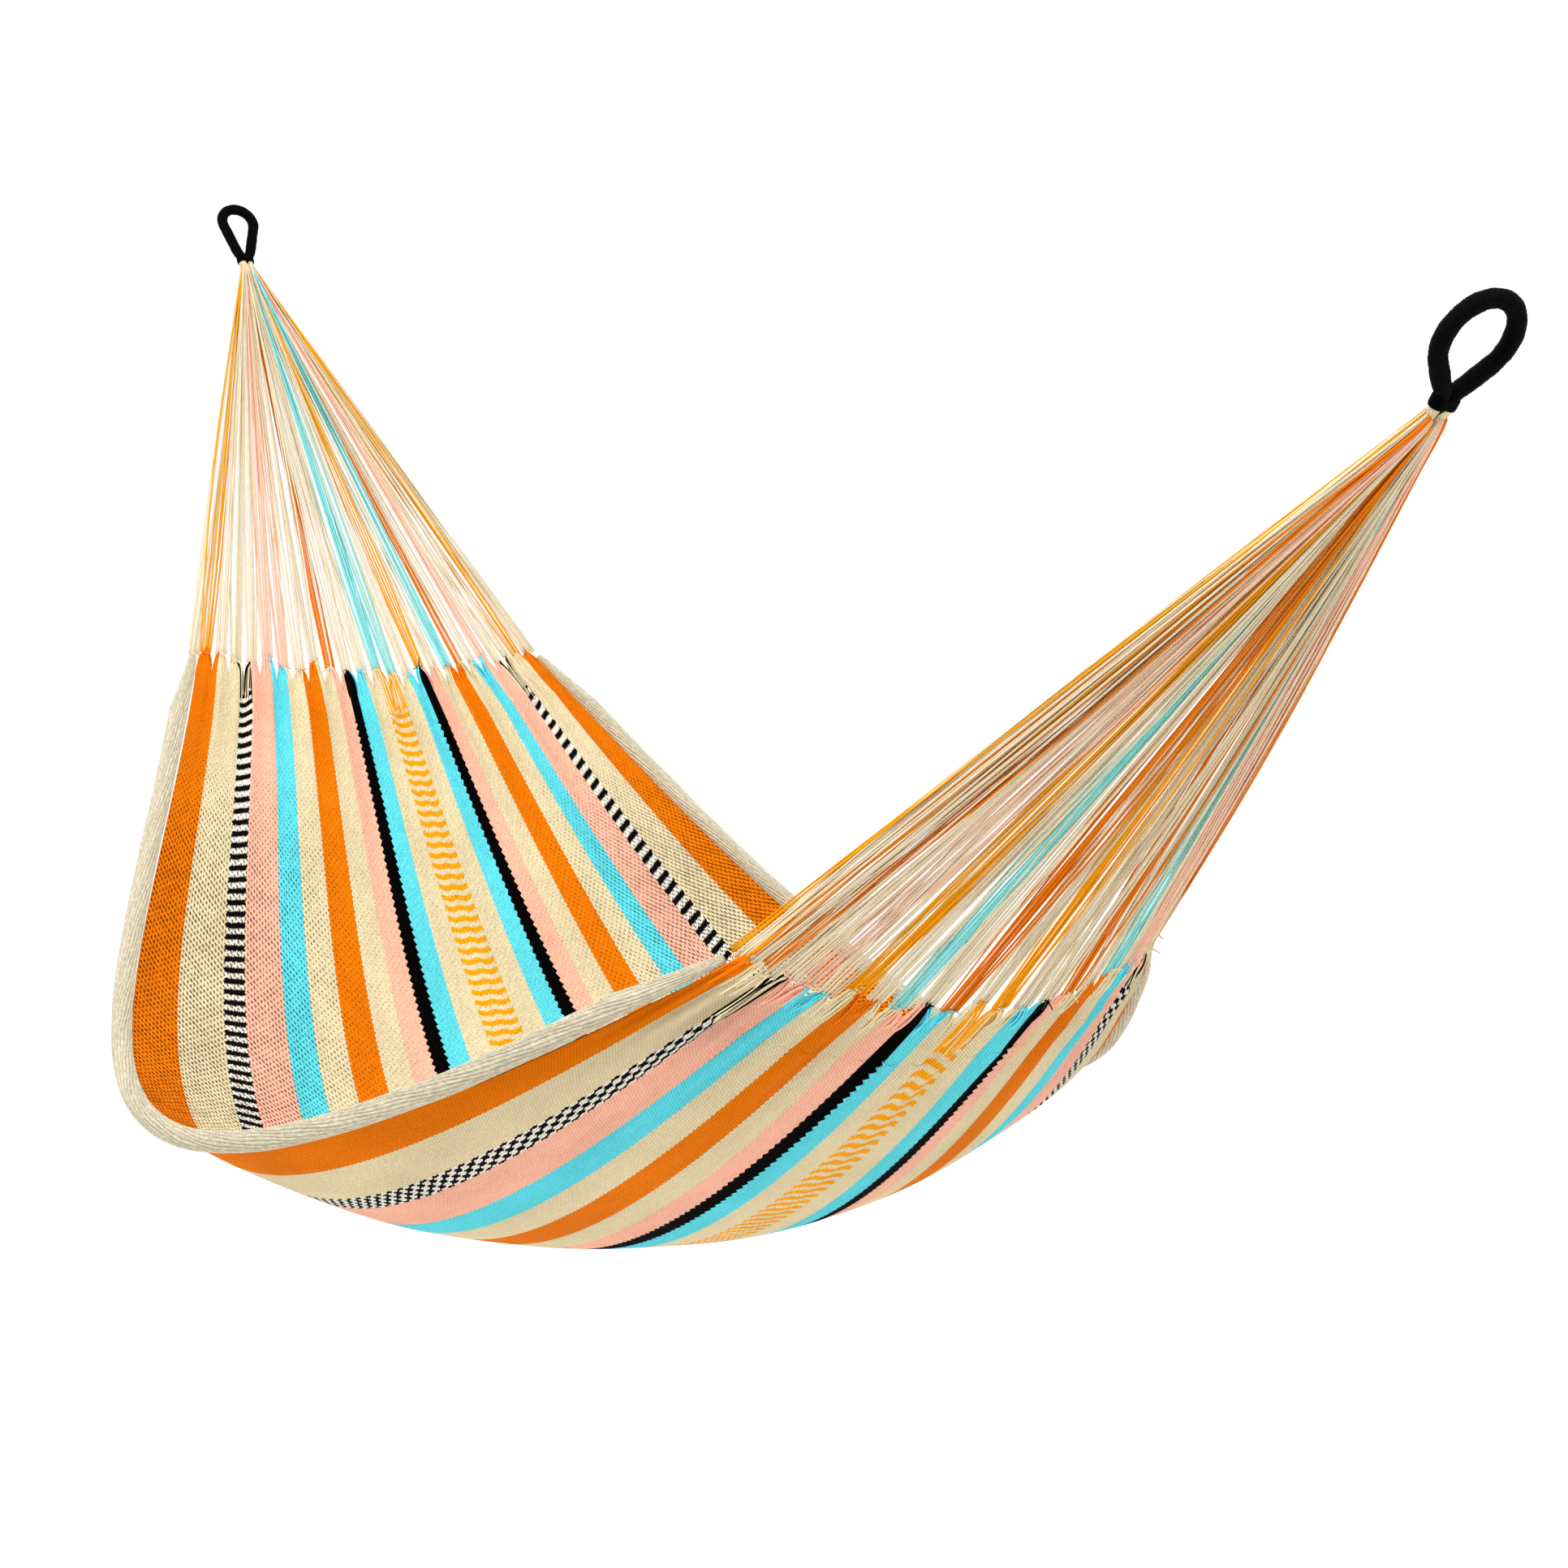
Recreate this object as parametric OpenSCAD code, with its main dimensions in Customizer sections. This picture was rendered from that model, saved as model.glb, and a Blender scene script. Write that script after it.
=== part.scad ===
// Handwoven rope hammock, hanging by two wrapped rope eyes.
// Frame: origin where the hook bears inside the top of the head eye,
// +X level towards the foot eye, +Z up. The bed swings about the line
// through the two throats, where the strings leave the eyes.

/* [Hanging line] */
// Distance between the two throats
throat_span = 2677; // [2300:1:3300]
// Level distance from the head throat to the bed's end
head_reach = 638; // [500:1:780]
// Drop from the hanging line to the bed's head end
head_drop = 559; // [450:1:680]
// Level distance from the foot throat to the bed's end
foot_reach = 515; // [420:1:640]
// Drop from the hanging line to the bed's foot end
foot_drop = 643; // [520:1:780]

/* [Bed shape] */
// Depth that the middle of the bed hangs below its two ends
bed_sag = 353; // [280:1:440]
// Extra depth in the middle, as a share of the sag
sag_fullness = 0.45; // [0.2:0.01:0.7]
// How far the deepest point leans towards the foot
sag_lean = 0.19; // [0:0.01:0.3]
// Half of the angle that the head end spans around the hanging line
head_half_angle = 27.3; // [22:0.1:33]
// Half of the angle that the middle spans
mid_half_angle = 33; // [27:0.1:40]
// Half of the angle that the foot end spans
foot_half_angle = 23.6; // [21:0.1:28]
// How far the widest point leans towards the foot
width_lean = 0.39; // [0:0.01:0.5]
// Degrees by which the head end's stripes crowd towards the edges
head_crowding = 3.5; // [0:0.1:5]
// Degrees by which the foot end's stripes crowd towards the edges
foot_crowding = 11.5; // [0:0.1:12]
// Share by which the head end's corners hang lower than its middle
head_corner_drop = 0.081; // [0:0.001:0.12]
// Share by which the foot end's corners hang lower than its middle
foot_corner_drop = 0.01; // [0:0.001:0.05]
// Share by which the long edges hang higher than the middle
long_edge_lift = 0.046; // [0:0.001:0.1]
// How far the head end's corners reach past its middle
head_corner_reach = 65; // [30:1:90]
// How far the foot end's corners stay back from its middle
foot_corner_reach = 74; // [30:1:100]

/* [Cloth] */
// Thickness of the woven cloth
cloth_t = 4; // [3:0.1:6]
// Gap between neighbouring stripes
stripe_gap = 0.5; // [0.3:0.1:1]
// Diameter of the rolled long edge at mid length
edge_roll_d = 28; // [20:1:34]
// Share of the bed's length taken by the warp loops at each end
loop_share = 0.045; // [0.03:0.001:0.06]

/* [Stripes] */
// Half of the yellow centre stripe
yellow_half_w = 32; // [24:1:50]
// Cream stripe beside the centre
cream_centre_w = 42; // [30:1:60]
// Inner turquoise stripe
turquoise_inner_w = 38; // [30:1:60]
// Black stripe
black_w = 26; // [20:1:40]
// Inner pink stripe
pink_inner_w = 39; // [30:1:60]
// Inner cream stripe
cream_inner_w = 45; // [30:1:70]
// Inner orange stripe
orange_inner_w = 52; // [40:1:80]
// Middle cream stripe
cream_middle_w = 51; // [40:1:80]
// Outer turquoise stripe
turquoise_outer_w = 45; // [40:1:70]
// Outer pink stripe
pink_outer_w = 65; // [50:1:90]
// Black and white barred stripe
barred_w = 35; // [30:1:60]
// Outer cream stripe
cream_outer_w = 73; // [60:1:100]
// Outer orange stripe
orange_outer_w = 66; // [60:1:100]
// Cream strip that is rolled up into the long edge
edge_strip_w = 39; // [34:1:60]

/* [Strings] */
// Diameter of one string, a loose group of yarns
string_d = 3; // [2:0.1:4]
// Diameter of the knot that ties a string to its warp loop
knot_d = 8; // [6:0.1:10]
// Length of a knot's loose tail
tail_len = 16; // [8:1:24]

/* [Eyes] */
// Outer length of the head eye, from its throat
head_eye_len = 112; // [95:1:150]
// Outer width of the head eye
head_eye_w = 69; // [60:1:90]
// Angle of the head eye above level
head_eye_tilt = 54; // [40:1:70]
// Outer length of the foot eye, from its throat
foot_eye_len = 110; // [105:1:160]
// Outer width of the foot eye
foot_eye_w = 91; // [76:1:97]
// Angle of the foot eye above level
foot_eye_tilt = 62; // [45:1:75]
// Diameter of an eye's rope over its twine wrapping
eye_rope_d = 17; // [14:0.1:21]
// Diameter of the bare yarns inside the wrapping
eye_core_d = 12.4; // [10:0.1:12.8]
// Length over which the two legs lie side by side
neck_len = 12; // [10:0.5:16]
// Radius of the bend between the neck and a leg
neck_bend_r = 12; // [11:0.5:20]
// Width of the lashing round the neck
lashing_w = 9; // [6:0.5:9.5]
// Thickness of the lashing
lashing_t = 1.2; // [1:0.1:2.2]

/* [Hidden] */
$fn = 32;

// Colours of the yarns and the twine
cream = "#e1d0a5";
yellow = "#f5a828";
orange = "#e87210";
pink = "#f2a08c";
turquoise = "#4fc4dc";
black = "#181414";

// The strings' colours from the near edge to the far edge, by first letter
head_colours = "cycccppccoccttcyctocpccycc";
foot_colours = "ycoccpcyctcocyccoctcpccoyc";

// Throats: the head throat lies where the head eye's rope bears at the origin
eye_r = eye_rope_d / 2;
core_r = eye_core_d / 2;
slip = 0.1;
weld = 1;
weld_step = 0.06;
head_bearing = head_eye_len - eye_rope_d;
foot_bearing = foot_eye_len - eye_rope_d;
head_throat = head_bearing * [cos(head_eye_tilt), 0, -sin(head_eye_tilt)];
foot_throat = head_throat + [throat_span, 0, 0];

// Inside this ball round a throat lies the eye, and outside it the strings
leg_offset = eye_r + 0.2;
ball_r = leg_offset + eye_r + 4.2;
ball_gap = 0.6;

// Places across the bed run from -1 at the near edge to 1 at the far edge
stripe_edges = running_sum([
    yellow_half_w, cream_centre_w, turquoise_inner_w, black_w, pink_inner_w,
    cream_inner_w, orange_inner_w, cream_middle_w, turquoise_outer_w,
    pink_outer_w, barred_w, cream_outer_w, orange_outer_w, edge_strip_w
]);
half_w = stripe_edges[13];
cloth_edge = stripe_edges[12] / half_w;
roll_steps = 44;
roll_sides = 10;
roll_start = 0.008;
stripe_steps = 28;
widest_flat = 60;

// Distance from a knot's centre that clears its corners
knot_reach = knot_d * 0.71 + 0.2;

// Strings: the same number leaves each leg, in three staggered rows
strings_per_leg = 13;
last_string = 2 * strings_per_leg - 1;
string_pitch = (string_d + 0.25) / 3;
row_pitch = string_d + 0.2;
bundle_half_w = (strings_per_leg - 1) / 2 * string_pitch;
bundle_offset = max(leg_offset, bundle_half_w + string_d / 2 + 0.1);

// Sum of the first values of a list, at each place in it
function running_sum(w, i = 0, s = 0) =
    i == len(w) ? [] : concat([s + w[i]], running_sum(w, i + 1, s + w[i]));
function unit(p) = p / norm(p);
function blend(a, b, t) = a + (b - a) * t;

// Bed surface: t runs from the head end to the foot end, q from edge to edge
function bow(t) = 4 * t * (1 - t);
function bed_x(t, q) =
    blend(head_reach - head_corner_reach * q * q,
          throat_span - foot_reach - foot_corner_reach * q * q, t);
function bed_drop(t, q) =
    blend(head_drop * (1 + head_corner_drop * q * q),
          foot_drop * (1 + foot_corner_drop * q * q), t)
    + bed_sag * (1 - long_edge_lift * q * q) * bow(t)
      * (1 + sag_lean * (2 * t - 1) + sag_fullness * bow(t));
function head_angle(q) = head_half_angle * q + head_crowding * (q - q * q * q);
function foot_angle(q) = foot_half_angle * q + foot_crowding * (q - q * q * q);
function bed_angle(t, q) =
    blend(head_angle(q), foot_angle(q), t)
    + (mid_half_angle * q - (head_angle(q) + foot_angle(q)) / 2)
      * bow(t) * (1 + width_lean * (2 * t - 1));
function bed(t, q) =
    head_throat + [
        bed_x(t, q),
        bed_drop(t, q) * sin(bed_angle(t, q)),
        -bed_drop(t, q) * cos(bed_angle(t, q))
    ];
// Unit normal of the bed, pointing down and out of the hollow
function bed_normal(t, q, e = 0.002) =
    unit(cross(bed(t, q + e) - bed(t, q - e), bed(t + e, q) - bed(t - e, q)));

// Solid through a list of rings that all have the same number of points
module skin(rings) {
    n = len(rings[0]);
    last = n * (len(rings) - 1);
    sides = [
        for (a = [0 : n : last - 1], j = [0 : n - 1])
            let (k = (j + 1) % n)
            each [[a + j, a + k, a + n + j], [a + k, a + n + k, a + n + j]]
    ];
    near_cap = [for (j = [n - 1 : -1 : 0]) j];
    far_cap = [for (j = [0 : n - 1]) last + j];
    polyhedron([for (r = rings) each r], concat(sides, [near_cap, far_cap]), 4);
}

// Straight round rod from a to b
module rod(a, b, r1, r2) {
    d = b - a;
    translate(a)
        rotate([0, acos(d.z / norm(d)), atan2(d.y, d.x)])
            cylinder(h = norm(d), r1 = r1, r2 = r2);
}

// One woven stripe between places q1 and q2 across the bed
module stripe(q1, q2) {
    flats = ceil((q2 - q1) * half_w / widest_flat);
    places = [for (j = [0 : flats]) blend(q1, q2, j / flats)];
    skin([
        for (i = [0 : stripe_steps])
            let (t = blend(loop_share, 1 - loop_share, i / stripe_steps))
            concat(
                [for (q = places) bed(t, q) + bed_normal(t, q) * cloth_t / 2],
                [for (j = [flats : -1 : 0])
                    bed(t, places[j]) - bed_normal(t, places[j]) * cloth_t / 2]
            )
    ]);
}

// The k-th stripe out from the centre, on both sides
module stripe_pair(k) {
    inset = stripe_gap / 2 / half_w;
    q1 = stripe_edges[k - 1] / half_w + inset;
    q2 = stripe_edges[k] / half_w - inset;
    stripe(q1, q2);
    stripe(-q2, -q1);
}

// Rolled long edge, beside the cloth: side is -1 for the near edge and 1
// for the far edge. It tapers into a warp loop at each end.
function roll_r(t) = edge_roll_d / 2 * min(1, 0.35 + 10 * min(t, 1 - t));
function edge_along(t, side) =
    unit(bed(t + 0.002, side * cloth_edge) - bed(t - 0.002, side * cloth_edge));
function edge_across(t, side) =
    side * unit(cross(edge_along(t, side), bed_normal(t, side * cloth_edge)));
function roll_centre(t, side) =
    bed(t, side * cloth_edge) + edge_across(t, side) * (roll_r(t) + stripe_gap);
module edge_roll(side) {
    skin([
        for (i = [0 : roll_steps])
            let (
                t = blend(roll_start, 1 - roll_start, i / roll_steps),
                across = edge_across(t, side) * side,
                out = cross(across, edge_along(t, side))
            )
            [for (j = [0 : roll_sides - 1])
                let (a = 360 * j / roll_sides)
                roll_centre(t, side) + roll_r(t) * (cos(a) * across + sin(a) * out)]
    ]);
}

// String i ties to warp loop i, and the two outer strings tie to the rolls
function loop_place(i) = cloth_edge * (2 * i - last_string) / (last_string - 1);
function is_outer(i) = i == 0 || i == last_string;
function tie_point(end, i) =
    is_outer(i) ? roll_centre(end, i == 0 ? -1 : 1) : bed(end, loop_place(i));
// Where string i leaves the throat, on the ball round it
function string_start(end, i) =
    let (
        throat = end == 0 ? head_throat : foot_throat,
        heading = unit(bed(end, 0) - throat),
        side = i < strings_per_leg ? -1 : 1,
        j = side < 0 ? i : last_string - i,
        y = side * (bundle_offset + bundle_half_w - j * string_pitch),
        row = (j % 3 - 1) * row_pitch,
        r = ball_r + ball_gap
    )
    throat + [0, y, 0] + row * [-heading.z, 0, heading.x]
    + heading * sqrt(r * r - y * y - row * row);
function string_heading(end, i) = unit(tie_point(end, i) - string_start(end, i));

// All strings of one colour at one end: end is 0 at the head and 1 at the foot
module strings(end, letter) {
    colours = end == 0 ? head_colours : foot_colours;
    for (i = [0 : last_string])
        if (colours[i] == letter)
            rod(string_start(end, i),
                tie_point(end, i) - string_heading(end, i) * knot_reach,
                string_d / 2, string_d / 2);
}

// A knot with its loose tail along +Z
module knot() {
    cylinder(h = knot_d / 2 + tail_len, r = string_d / 3);
    translate([0, 0, -knot_d / 2]) cylinder(h = knot_d, r = knot_d / 2);
}

// Knots at the ends of the strings
module knots(end) {
    for (i = [0 : last_string]) {
        q = sign(loop_place(i)) * min(cloth_edge, abs(loop_place(i)));
        out = bed_normal(end, q);
        translate(tie_point(end, i))
            rotate([0, acos(out.z), atan2(out.y, out.x)]) knot();
    }
}

// Tapering warp loops between the knots and the woven cloth
module warp_loops(end) {
    for (i = [1 : last_string - 1]) {
        q = loop_place(i);
        tip = tie_point(end, i);
        root = bed(abs(end - loop_share + 0.001), q);
        pitch = norm(tie_point(end, i) - tie_point(end, i < strings_per_leg ? i - 1 : i + 1));
        rod(tip + unit(root - tip) * knot_reach, root,
            min(string_d * 0.8, 0.2 * pitch), min(7, 0.3 * pitch));
    }
}

// Rope of one eye, lying in the XY plane with its throat at the origin.
// It runs from start along the neck, round the loop and back, and its
// straight lengths end just inside its bends.
module eye_rope(len, width, r, start) {
    loop_r = (width - eye_rope_d) / 2;
    loop_x = len - eye_r - loop_r;
    bend_y = leg_offset + neck_bend_r;
    reach = norm([loop_x - neck_len, bend_y]);
    both_r = neck_bend_r + loop_r;
    turn = asin(both_r / reach) - atan2(bend_y, loop_x - neck_len);
    straight = sqrt(reach * reach - both_r * both_r);
    translate([loop_x, 0, 0])
        rotate([0, 0, -90 - turn])
            rotate_extrude(angle = 180 + 2 * turn)
                translate([loop_r, 0]) circle(r);
    for (side = [0, 1])
        mirror([0, side, 0]) {
            translate([start, leg_offset, 0])
                rotate([0, 90, 0])
                    cylinder(h = neck_len - start + weld, r = r - weld_step);
            translate([neck_len, bend_y, 0])
                rotate([0, 0, -90])
                    rotate_extrude(angle = turn)
                        translate([neck_bend_r, 0]) circle(r);
            translate([neck_len, bend_y, 0])
                rotate([0, 0, turn])
                    translate([-weld, -neck_bend_r, 0])
                        rotate([0, 90, 0])
                            cylinder(h = straight + 2 * weld, r = r - weld_step);
        }
}

// Bare yarns that form the eye and come out of both legs at the throat
module eye_core(len, width) {
    stub = sqrt(ball_r * ball_r - pow(leg_offset + core_r, 2)) - 0.2;
    eye_rope(len, width, core_r, -stub);
}

// Black twine wound tightly round the eye's yarns
module eye_wrapping(len, width) {
    difference() {
        eye_rope(len, width, eye_r, 0);
        eye_rope(len, width, core_r + slip, -1);
    }
}

module neck_outline(r) {
    square([2 * r, 2 * leg_offset], center = true);
    for (side = [-1, 1])
        translate([0, side * leg_offset]) circle(r);
}

// Twine lashed round both legs of the neck
module throat_lashing() {
    translate([(neck_len - lashing_w) / 2, 0, 0])
        rotate([0, 90, 0])
            linear_extrude(height = lashing_w)
                difference() {
                    neck_outline(eye_r + lashing_t);
                    neck_outline(eye_r + slip);
                }
}

module at_head_eye() {
    translate(head_throat) rotate([0, head_eye_tilt - 180, 0]) children();
}
module at_foot_eye() {
    translate(foot_throat) rotate([0, -foot_eye_tilt, 0]) children();
}

module head_eye_core() { color(cream) at_head_eye() eye_core(head_eye_len, head_eye_w); }
module head_eye_wrapping() { color(black) at_head_eye() eye_wrapping(head_eye_len, head_eye_w); }
module head_throat_lashing() { color(black) at_head_eye() throat_lashing(); }
module head_strings_cream() { color(cream) strings(0, "c"); }
module head_strings_yellow() { color(yellow) strings(0, "y"); }
module head_strings_orange() { color(orange) strings(0, "o"); }
module head_strings_pink() { color(pink) strings(0, "p"); }
module head_strings_turquoise() { color(turquoise) strings(0, "t"); }
module head_knots() { color(cream) knots(0); }
module head_warp_loops() { color(cream) warp_loops(0); }
module centre_yellow_stripe() {
    inset = stripe_gap / 2 / half_w;
    edge = stripe_edges[0] / half_w - inset;
    color(yellow) stripe(-edge, edge);
}
module centre_cream_stripes() { color(cream) stripe_pair(1); }
module inner_turquoise_stripes() { color(turquoise) stripe_pair(2); }
module black_stripes() { color(black) stripe_pair(3); }
module inner_pink_stripes() { color(pink) stripe_pair(4); }
module inner_cream_stripes() { color(cream) stripe_pair(5); }
module inner_orange_stripes() { color(orange) stripe_pair(6); }
module middle_cream_stripes() { color(cream) stripe_pair(7); }
module outer_turquoise_stripes() { color(turquoise) stripe_pair(8); }
module outer_pink_stripes() { color(pink) stripe_pair(9); }
module barred_stripes() { color("#8a8378") stripe_pair(10); }
module outer_cream_stripes() { color(cream) stripe_pair(11); }
module outer_orange_stripes() { color(orange) stripe_pair(12); }
module near_edge_roll() { color(cream) edge_roll(-1); }
module far_edge_roll() { color(cream) edge_roll(1); }
module foot_warp_loops() { color(cream) warp_loops(1); }
module foot_knots() { color(cream) knots(1); }
module foot_strings_cream() { color(cream) strings(1, "c"); }
module foot_strings_yellow() { color(yellow) strings(1, "y"); }
module foot_strings_orange() { color(orange) strings(1, "o"); }
module foot_strings_pink() { color(pink) strings(1, "p"); }
module foot_strings_turquoise() { color(turquoise) strings(1, "t"); }
module foot_eye_core() { color(cream) at_foot_eye() eye_core(foot_eye_len, foot_eye_w); }
module foot_eye_wrapping() { color(black) at_foot_eye() eye_wrapping(foot_eye_len, foot_eye_w); }
module foot_throat_lashing() { color(black) at_foot_eye() throat_lashing(); }

head_eye_core();
head_eye_wrapping();
head_throat_lashing();
head_strings_cream();
head_strings_yellow();
head_strings_orange();
head_strings_pink();
head_strings_turquoise();
head_knots();
head_warp_loops();
centre_yellow_stripe();
centre_cream_stripes();
inner_turquoise_stripes();
black_stripes();
inner_pink_stripes();
inner_cream_stripes();
inner_orange_stripes();
middle_cream_stripes();
outer_turquoise_stripes();
outer_pink_stripes();
barred_stripes();
outer_cream_stripes();
outer_orange_stripes();
near_edge_roll();
far_edge_roll();
foot_warp_loops();
foot_knots();
foot_strings_cream();
foot_strings_yellow();
foot_strings_orange();
foot_strings_pink();
foot_strings_turquoise();
foot_eye_core();
foot_eye_wrapping();
foot_throat_lashing();
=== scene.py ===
import math

import bpy
import numpy as np
from mathutils import Matrix


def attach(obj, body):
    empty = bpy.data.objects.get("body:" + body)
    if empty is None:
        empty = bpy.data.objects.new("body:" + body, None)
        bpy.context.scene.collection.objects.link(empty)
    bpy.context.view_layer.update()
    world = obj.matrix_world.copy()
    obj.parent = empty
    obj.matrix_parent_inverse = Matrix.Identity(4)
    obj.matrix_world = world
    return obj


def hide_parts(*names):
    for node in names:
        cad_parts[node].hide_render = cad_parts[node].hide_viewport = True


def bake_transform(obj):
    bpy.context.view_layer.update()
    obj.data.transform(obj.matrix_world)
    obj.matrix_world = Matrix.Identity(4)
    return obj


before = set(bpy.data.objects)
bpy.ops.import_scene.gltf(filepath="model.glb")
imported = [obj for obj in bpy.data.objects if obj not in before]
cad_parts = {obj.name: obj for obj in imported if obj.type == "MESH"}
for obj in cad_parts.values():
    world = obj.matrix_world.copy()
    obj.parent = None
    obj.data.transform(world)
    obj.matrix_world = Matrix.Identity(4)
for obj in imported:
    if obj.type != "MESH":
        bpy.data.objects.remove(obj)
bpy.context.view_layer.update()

# ---------------------------------------------------------------- sizes, in metres and degrees
# The same values as the CAD source's, so that every piece lies in its CAD solid.
THROAT_SPAN = 2.677
HEAD_REACH, HEAD_DROP = 0.638, 0.559
FOOT_REACH, FOOT_DROP = 0.515, 0.643
BED_SAG, SAG_FULLNESS, SAG_LEAN = 0.353, 0.45, 0.19
HEAD_HALF_ANGLE, MID_HALF_ANGLE, FOOT_HALF_ANGLE = 27.3, 33.0, 23.6
WIDTH_LEAN = 0.39
HEAD_CROWDING, FOOT_CROWDING = 3.5, 11.5
HEAD_CORNER_DROP, FOOT_CORNER_DROP = 0.081, 0.01
LONG_EDGE_LIFT = 0.046
HEAD_CORNER_REACH, FOOT_CORNER_REACH = 0.065, 0.074
STRIPE_GAP = 0.0005
ROLL_D = 0.028
LOOP_SHARE = 0.045
EDGE_STRIP_W = 0.039
STRING_D = 0.003
EYE_ROPE_D, EYE_CORE_D = 0.017, 0.0124
NECK_LEN, NECK_BEND_R = 0.012, 0.012
LASHING_W = 0.009
EYES = {
    "head": {"length": 0.112, "width": 0.069, "tilt": 54.0, "away": -1},
    "foot": {"length": 0.110, "width": 0.091, "tilt": 62.0, "away": 1},
}
BED_LENGTH = 1.89

# Stripes from the centre outwards: CAD node, flat width, yarn
STRIPES = [
    ("centre_yellow_stripe", 0.032, "centre"),
    ("centre_cream_stripes", 0.042, "cream"),
    ("inner_turquoise_stripes", 0.038, "turquoise"),
    ("black_stripes", 0.026, "black"),
    ("inner_pink_stripes", 0.039, "pink"),
    ("inner_cream_stripes", 0.045, "cream"),
    ("inner_orange_stripes", 0.052, "orange"),
    ("middle_cream_stripes", 0.051, "cream"),
    ("outer_turquoise_stripes", 0.045, "turquoise"),
    ("outer_pink_stripes", 0.065, "pink"),
    ("barred_stripes", 0.035, "barred"),
    ("outer_cream_stripes", 0.073, "cream"),
    ("outer_orange_stripes", 0.066, "orange"),
]
# The strings' yarns from the near edge to the far edge, by first letter
STRING_YARNS = {"head": "cycccppccoccttcyctocpccycc", "foot": "ycoccpcyctcocyccoctcpccoyc"}
YARN_OF = {"c": "cream", "y": "yellow", "o": "orange", "p": "pink", "t": "turquoise"}

# Weave
RIB_PITCH = 0.008
RIB_COLUMNS = 3
ROWS = 456
SLOTS_ALONG = ROWS / 2
PEAK_HALF, VALLEY_HALF, SLOT_HALF, EDGE_HALF = 0.0015, 0.0012, 0.0010, 0.0012
RIB_SWAY = 0.0006
TOOTH = 0.0011
LONG_TOOTH = 0.0026
BLACK_BORDERS = {3: -1, 4: 1}
TWO_COLOURED = ("barred", "centre")

# Cloth that runs on into the warp loops
LOOP_TUCK = 0.003
GATHER = 0.62
LOOP_CLOTH_HALF = 0.00135
LOOP_COLUMN_W = 0.003
NARROWEST_PART = 0.0015
TWO_COLOURED_REACH, PLAIN_REACH = 0.35, 0.95

# Rolled edges
ROLL_INSET = 0.008

# Eyes, throats and strings
EYE_R = EYE_ROPE_D / 2
CORE_R = EYE_CORE_D / 2
LEG_OFFSET = EYE_R + 0.0002
BALL_R = LEG_OFFSET + EYE_R + 0.0042
STRING_BALL_R = BALL_R + 0.0006
STRINGS_PER_LEG = 13
LAST_STRING = 2 * STRINGS_PER_LEG - 1
STRING_PITCH = (STRING_D + 0.00025) / 3
ROW_PITCH = STRING_D + 0.0002
NECK_OFFSET, NECK_R, NECK_TOP = 0.0062, 0.0076, 0.024
MOUTH_R = 0.0056
GOLDEN_TURN = 2.39996
LEG_INSIDE = 0.004
START_SQUEEZE = 0.74
STAGGER_MOST = 0.010
CREAM_SHARE = 0.08
# For the strings of each end: how many yarns a string has, a yarn's radius, the yarns' spacing
STRING_MAKE = {"head": (7, 0.00105, 0.0028), "foot": (12, 0.00105, 0.0022)}

EDGES = np.cumsum([w for _, w, _ in STRIPES])
HALF_W = EDGES[-1] + EDGE_STRIP_W
CLOTH_EDGE = EDGES[-1] / HALF_W


def unit(v):
    v = np.asarray(v, float)
    return v / np.linalg.norm(v, axis=-1, keepdims=True)


def mix(a, b, t):
    return a + (b - a) * t


def turned(eye, x, y, z=0.0):
    """A place in an eye's own frame, x along its length and y across it, as a step from the
    throat in the shared frame."""
    tilt = math.radians(eye["tilt"])
    along = np.array([eye["away"] * math.cos(tilt), 0, math.sin(tilt)])
    up = np.array([-math.sin(tilt), 0, eye["away"] * math.cos(tilt)])
    return (np.multiply.outer(x, along) + np.multiply.outer(y, [0.0, 1.0, 0.0])
            + np.multiply.outer(z, up))


HEAD_THROAT = -turned(EYES["head"], EYES["head"]["length"] - EYE_ROPE_D, 0.0)
THROATS = {"head": HEAD_THROAT, "foot": HEAD_THROAT + [THROAT_SPAN, 0, 0]}
END_T = {"head": 0.0, "foot": 1.0}


# ---------------------------------------------------------------- bed surface
def bed(t, q):
    """Points of the bed: t runs from the head end to the foot end, q from edge to edge."""
    t, q = np.broadcast_arrays(np.asarray(t, float), np.asarray(q, float))
    bow = 4 * t * (1 - t)
    q2 = q * q
    x = mix(HEAD_REACH - HEAD_CORNER_REACH * q2,
            THROAT_SPAN - FOOT_REACH - FOOT_CORNER_REACH * q2, t)
    drop = mix(HEAD_DROP * (1 + HEAD_CORNER_DROP * q2),
               FOOT_DROP * (1 + FOOT_CORNER_DROP * q2), t)
    drop = drop + (BED_SAG * (1 - LONG_EDGE_LIFT * q2) * bow
                   * (1 + SAG_LEAN * (2 * t - 1) + SAG_FULLNESS * bow))
    head = HEAD_HALF_ANGLE * q + HEAD_CROWDING * (q - q ** 3)
    foot = FOOT_HALF_ANGLE * q + FOOT_CROWDING * (q - q ** 3)
    angle = mix(head, foot, t) + ((MID_HALF_ANGLE * q - (head + foot) / 2)
                                  * bow * (1 + WIDTH_LEAN * (2 * t - 1)))
    angle = np.radians(angle)
    return HEAD_THROAT + np.stack([x, drop * np.sin(angle), -drop * np.cos(angle)], -1)


def bed_normal(t, q, e=0.002):
    """Unit normal of the bed, pointing down and out of the hollow."""
    t, q = np.asarray(t, float), np.asarray(q, float)
    return unit(np.cross(bed(t, q + e) - bed(t, q - e), bed(t + e, q) - bed(t - e, q)))


def ribs_before(k):
    """How many ribs lie between the bed's middle line and the start of stripe k."""
    return sum(round(w / RIB_PITCH) for _, w, _ in STRIPES[:k])


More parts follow.
